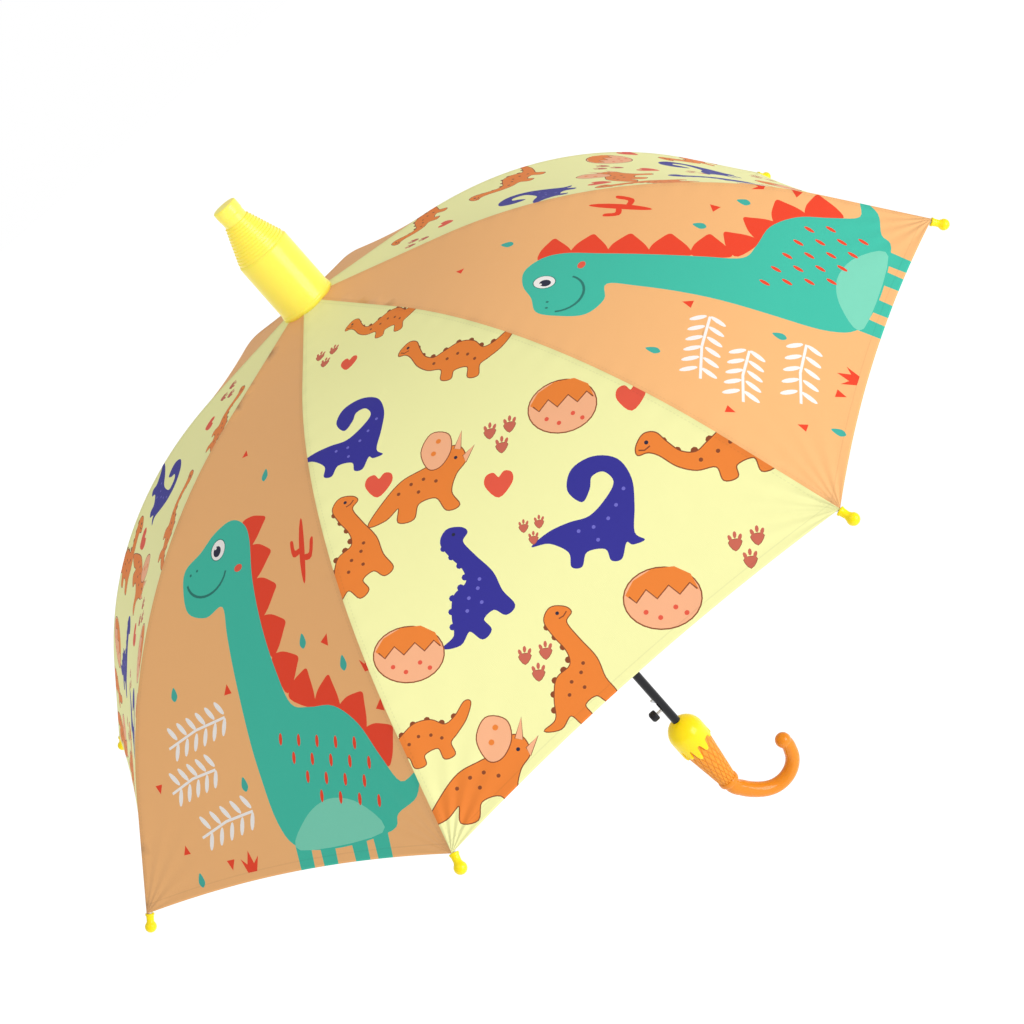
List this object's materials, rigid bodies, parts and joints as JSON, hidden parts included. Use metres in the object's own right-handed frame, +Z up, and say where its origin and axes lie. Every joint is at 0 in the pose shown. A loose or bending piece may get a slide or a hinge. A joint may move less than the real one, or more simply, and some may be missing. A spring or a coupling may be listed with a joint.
{
  "type": "child's stick umbrella",
  "caption": "Open child's stick umbrella: ribbed dome canopy, telescopic drip cover, push-button release and an ice-cream cone handle with a hook.",
  "frame": {"origin": "on the shaft axis at the middle of the cone grip, where the hand holds it", "axes": "+Z up the shaft to the tip; the hook opens towards +X and the release knob is on the -X side"},
  "size_m": [0.7928, 0.7928, 0.7314],
  "materials": {
    "steel": "zinc-plated pressed steel",
    "black_tube": "gloss black enamel",
    "black_plastic": "satin black",
    "yellow_plastic": "glossy, slightly translucent",
    "tip_yellow": "glossy",
    "orange_plastic": "glossy",
    "cloth": "printed woven polyester",
    "spring_steel": "bright wire",
    "knob_plastic": "satin black"
  },
  "bodies": {
    "shaft": {"shaft_tube": "black_tube", "top_notch": "black_plastic", "opening_spring": "spring_steel", "drip_cover_outer": "yellow_plastic", "drip_cover_sections": "yellow_plastic", "drip_cover_neck": "yellow_plastic", "handle_scoop": "tip_yellow", "handle_cone": "orange_plastic", "handle_hook": "orange_plastic"},
    "runner": {"runner": "black_plastic"},
    "release": {"release_lever": "spring_steel", "release_knob": "knob_plastic"},
    "rib_1": {"rib_inner_1": "steel", "rib_rivet_1": "steel"},
    "rib_tip_1": {"rib_outer_1": "steel", "tip_cap_1": "tip_yellow", "canopy_1": "cloth"},
    "stretcher_1": {"stretcher_1": "steel"},
    "rib_2": {"rib_inner_2": "steel", "rib_rivet_2": "steel"},
    "rib_tip_2": {"rib_outer_2": "steel", "tip_cap_2": "tip_yellow", "canopy_2": "cloth"},
    "stretcher_2": {"stretcher_2": "steel"},
    "rib_3": {"rib_inner_3": "steel", "rib_rivet_3": "steel"},
    "rib_tip_3": {"rib_outer_3": "steel", "tip_cap_3": "tip_yellow", "canopy_3": "cloth"},
    "stretcher_3": {"stretcher_3": "steel"},
    "rib_4": {"rib_inner_4": "steel", "rib_rivet_4": "steel"},
    "rib_tip_4": {"rib_outer_4": "steel", "tip_cap_4": "tip_yellow", "canopy_4": "cloth"},
    "stretcher_4": {"stretcher_4": "steel"},
    "rib_5": {"rib_inner_5": "steel", "rib_rivet_5": "steel"},
    "rib_tip_5": {"rib_outer_5": "steel", "tip_cap_5": "tip_yellow", "canopy_5": "cloth"},
    "stretcher_5": {"stretcher_5": "steel"},
    "rib_6": {"rib_inner_6": "steel", "rib_rivet_6": "steel"},
    "rib_tip_6": {"rib_outer_6": "steel", "tip_cap_6": "tip_yellow", "canopy_6": "cloth"},
    "stretcher_6": {"stretcher_6": "steel"},
    "rib_7": {"rib_inner_7": "steel", "rib_rivet_7": "steel"},
    "rib_tip_7": {"rib_outer_7": "steel", "tip_cap_7": "tip_yellow", "canopy_7": "cloth"},
    "stretcher_7": {"stretcher_7": "steel"},
    "rib_8": {"rib_inner_8": "steel", "rib_rivet_8": "steel"},
    "rib_tip_8": {"rib_outer_8": "steel", "tip_cap_8": "tip_yellow", "canopy_8": "cloth"},
    "stretcher_8": {"stretcher_8": "steel"}
  },
  "joints": [
    {"name": "canopy_fold", "type": "hinge", "parent": "shaft", "child": "rib_1", "pos_m": [0.00878, 0.00364, 0.55755], "axis": [-0.3827, 0.9239, 0], "range_deg": [0, 70.9], "stiffness_Nm_per_rad": 0.5, "springref_deg": -114.59, "deforming": ["opening_spring", "canopy_1"]},
    {"name": "rib_bend_1", "type": "hinge", "parent": "rib_1", "child": "rib_tip_1", "pos_m": [0.18387, 0.07616, 0.51185], "axis": [-0.3827, 0.9239, 0], "range_deg": [-20.12, 0]},
    {"name": "stretcher_fold_1", "type": "hinge", "parent": "rib_1", "child": "stretcher_1", "pos_m": [0.18211, 0.07543, 0.50723], "axis": [-0.3827, 0.9239, 0], "range_deg": [-142.3, 0]},
    {"name": "rib_fold_2", "type": "hinge", "parent": "shaft", "child": "rib_2", "pos_m": [0.00364, 0.00878, 0.55755], "axis": [-0.9239, 0.3827, 0], "range_deg": [0, 70.9], "deforming": ["canopy_2"]},
    {"name": "rib_bend_2", "type": "hinge", "parent": "rib_2", "child": "rib_tip_2", "pos_m": [0.07616, 0.18387, 0.51185], "axis": [-0.9239, 0.3827, 0], "range_deg": [-20.12, 0]},
    {"name": "stretcher_fold_2", "type": "hinge", "parent": "rib_2", "child": "stretcher_2", "pos_m": [0.07543, 0.18211, 0.50723], "axis": [-0.9239, 0.3827, 0], "range_deg": [-142.3, 0]},
    {"name": "rib_fold_3", "type": "hinge", "parent": "shaft", "child": "rib_3", "pos_m": [-0.00364, 0.00878, 0.55755], "axis": [-0.9239, -0.3827, 0], "range_deg": [0, 70.9], "deforming": ["canopy_3"]},
    {"name": "rib_bend_3", "type": "hinge", "parent": "rib_3", "child": "rib_tip_3", "pos_m": [-0.07616, 0.18387, 0.51185], "axis": [-0.9239, -0.3827, 0], "range_deg": [-20.12, 0]},
    {"name": "stretcher_fold_3", "type": "hinge", "parent": "rib_3", "child": "stretcher_3", "pos_m": [-0.07543, 0.18211, 0.50723], "axis": [-0.9239, -0.3827, 0], "range_deg": [-142.3, 0]},
    {"name": "rib_fold_4", "type": "hinge", "parent": "shaft", "child": "rib_4", "pos_m": [-0.00878, 0.00364, 0.55755], "axis": [-0.3827, -0.9239, 0], "range_deg": [0, 70.9], "deforming": ["canopy_4"]},
    {"name": "rib_bend_4", "type": "hinge", "parent": "rib_4", "child": "rib_tip_4", "pos_m": [-0.18387, 0.07616, 0.51185], "axis": [-0.3827, -0.9239, 0], "range_deg": [-20.12, 0]},
    {"name": "stretcher_fold_4", "type": "hinge", "parent": "rib_4", "child": "stretcher_4", "pos_m": [-0.18211, 0.07543, 0.50723], "axis": [-0.3827, -0.9239, 0], "range_deg": [-142.3, 0]},
    {"name": "rib_fold_5", "type": "hinge", "parent": "shaft", "child": "rib_5", "pos_m": [-0.00878, -0.00364, 0.55755], "axis": [0.3827, -0.9239, 0], "range_deg": [0, 70.9], "deforming": ["canopy_5"]},
    {"name": "rib_bend_5", "type": "hinge", "parent": "rib_5", "child": "rib_tip_5", "pos_m": [-0.18387, -0.07616, 0.51185], "axis": [0.3827, -0.9239, 0], "range_deg": [-20.12, 0]},
    {"name": "stretcher_fold_5", "type": "hinge", "parent": "rib_5", "child": "stretcher_5", "pos_m": [-0.18211, -0.07543, 0.50723], "axis": [0.3827, -0.9239, 0], "range_deg": [-142.3, 0]},
    {"name": "rib_fold_6", "type": "hinge", "parent": "shaft", "child": "rib_6", "pos_m": [-0.00364, -0.00878, 0.55755], "axis": [0.9239, -0.3827, 0], "range_deg": [0, 70.9], "deforming": ["canopy_6"]},
    {"name": "rib_bend_6", "type": "hinge", "parent": "rib_6", "child": "rib_tip_6", "pos_m": [-0.07616, -0.18387, 0.51185], "axis": [0.9239, -0.3827, 0], "range_deg": [-20.12, 0]},
    {"name": "stretcher_fold_6", "type": "hinge", "parent": "rib_6", "child": "stretcher_6", "pos_m": [-0.07543, -0.18211, 0.50723], "axis": [0.9239, -0.3827, 0], "range_deg": [-142.3, 0]},
    {"name": "rib_fold_7", "type": "hinge", "parent": "shaft", "child": "rib_7", "pos_m": [0.00364, -0.00878, 0.55755], "axis": [0.9239, 0.3827, 0], "range_deg": [0, 70.9], "deforming": ["canopy_7"]},
    {"name": "rib_bend_7", "type": "hinge", "parent": "rib_7", "child": "rib_tip_7", "pos_m": [0.07616, -0.18387, 0.51185], "axis": [0.9239, 0.3827, 0], "range_deg": [-20.12, 0]},
    {"name": "stretcher_fold_7", "type": "hinge", "parent": "rib_7", "child": "stretcher_7", "pos_m": [0.07543, -0.18211, 0.50723], "axis": [0.9239, 0.3827, 0], "range_deg": [-142.3, 0]},
    {"name": "rib_fold_8", "type": "hinge", "parent": "shaft", "child": "rib_8", "pos_m": [0.00878, -0.00364, 0.55755], "axis": [0.3827, 0.9239, 0], "range_deg": [0, 70.9], "deforming": ["canopy_8"]},
    {"name": "rib_bend_8", "type": "hinge", "parent": "rib_8", "child": "rib_tip_8", "pos_m": [0.18387, -0.07616, 0.51185], "axis": [0.3827, 0.9239, 0], "range_deg": [-20.12, 0]},
    {"name": "stretcher_fold_8", "type": "hinge", "parent": "rib_8", "child": "stretcher_8", "pos_m": [0.18211, -0.07543, 0.50723], "axis": [0.3827, 0.9239, 0], "range_deg": [-142.3, 0]},
    {"name": "runner_pivot", "type": "hinge", "parent": "stretcher_1", "child": "runner", "pos_m": [0.00878, 0.00364, 0.45691], "axis": [-0.3827, 0.9239, 0], "range_deg": [0, 70.9]},
    {"name": "release_press", "type": "hinge", "parent": "shaft", "child": "release", "pos_m": [-0.0024, 0, 0.06], "axis": [0, 1, 0], "range_deg": [0, 6], "stiffness_Nm_per_rad": 0.6, "springref_deg": -17.19}
  ],
  "couplings": [
    {"joint": "rib_bend_1", "follows": "canopy_fold", "ratio": -0.281},
    {"joint": "stretcher_fold_1", "follows": "canopy_fold", "ratio": -2},
    {"joint": "rib_fold_2", "follows": "canopy_fold", "ratio": 1},
    {"joint": "rib_bend_2", "follows": "canopy_fold", "ratio": -0.281},
    {"joint": "stretcher_fold_2", "follows": "canopy_fold", "ratio": -2},
    {"joint": "rib_fold_3", "follows": "canopy_fold", "ratio": 1},
    {"joint": "rib_bend_3", "follows": "canopy_fold", "ratio": -0.281},
    {"joint": "stretcher_fold_3", "follows": "canopy_fold", "ratio": -2},
    {"joint": "rib_fold_4", "follows": "canopy_fold", "ratio": 1},
    {"joint": "rib_bend_4", "follows": "canopy_fold", "ratio": -0.281},
    {"joint": "stretcher_fold_4", "follows": "canopy_fold", "ratio": -2},
    {"joint": "rib_fold_5", "follows": "canopy_fold", "ratio": 1},
    {"joint": "rib_bend_5", "follows": "canopy_fold", "ratio": -0.281},
    {"joint": "stretcher_fold_5", "follows": "canopy_fold", "ratio": -2},
    {"joint": "rib_fold_6", "follows": "canopy_fold", "ratio": 1},
    {"joint": "rib_bend_6", "follows": "canopy_fold", "ratio": -0.281},
    {"joint": "stretcher_fold_6", "follows": "canopy_fold", "ratio": -2},
    {"joint": "rib_fold_7", "follows": "canopy_fold", "ratio": 1},
    {"joint": "rib_bend_7", "follows": "canopy_fold", "ratio": -0.281},
    {"joint": "stretcher_fold_7", "follows": "canopy_fold", "ratio": -2},
    {"joint": "rib_fold_8", "follows": "canopy_fold", "ratio": 1},
    {"joint": "rib_bend_8", "follows": "canopy_fold", "ratio": -0.281},
    {"joint": "stretcher_fold_8", "follows": "canopy_fold", "ratio": -2},
    {"joint": "runner_pivot", "follows": "canopy_fold", "ratio": 1}
  ]
}
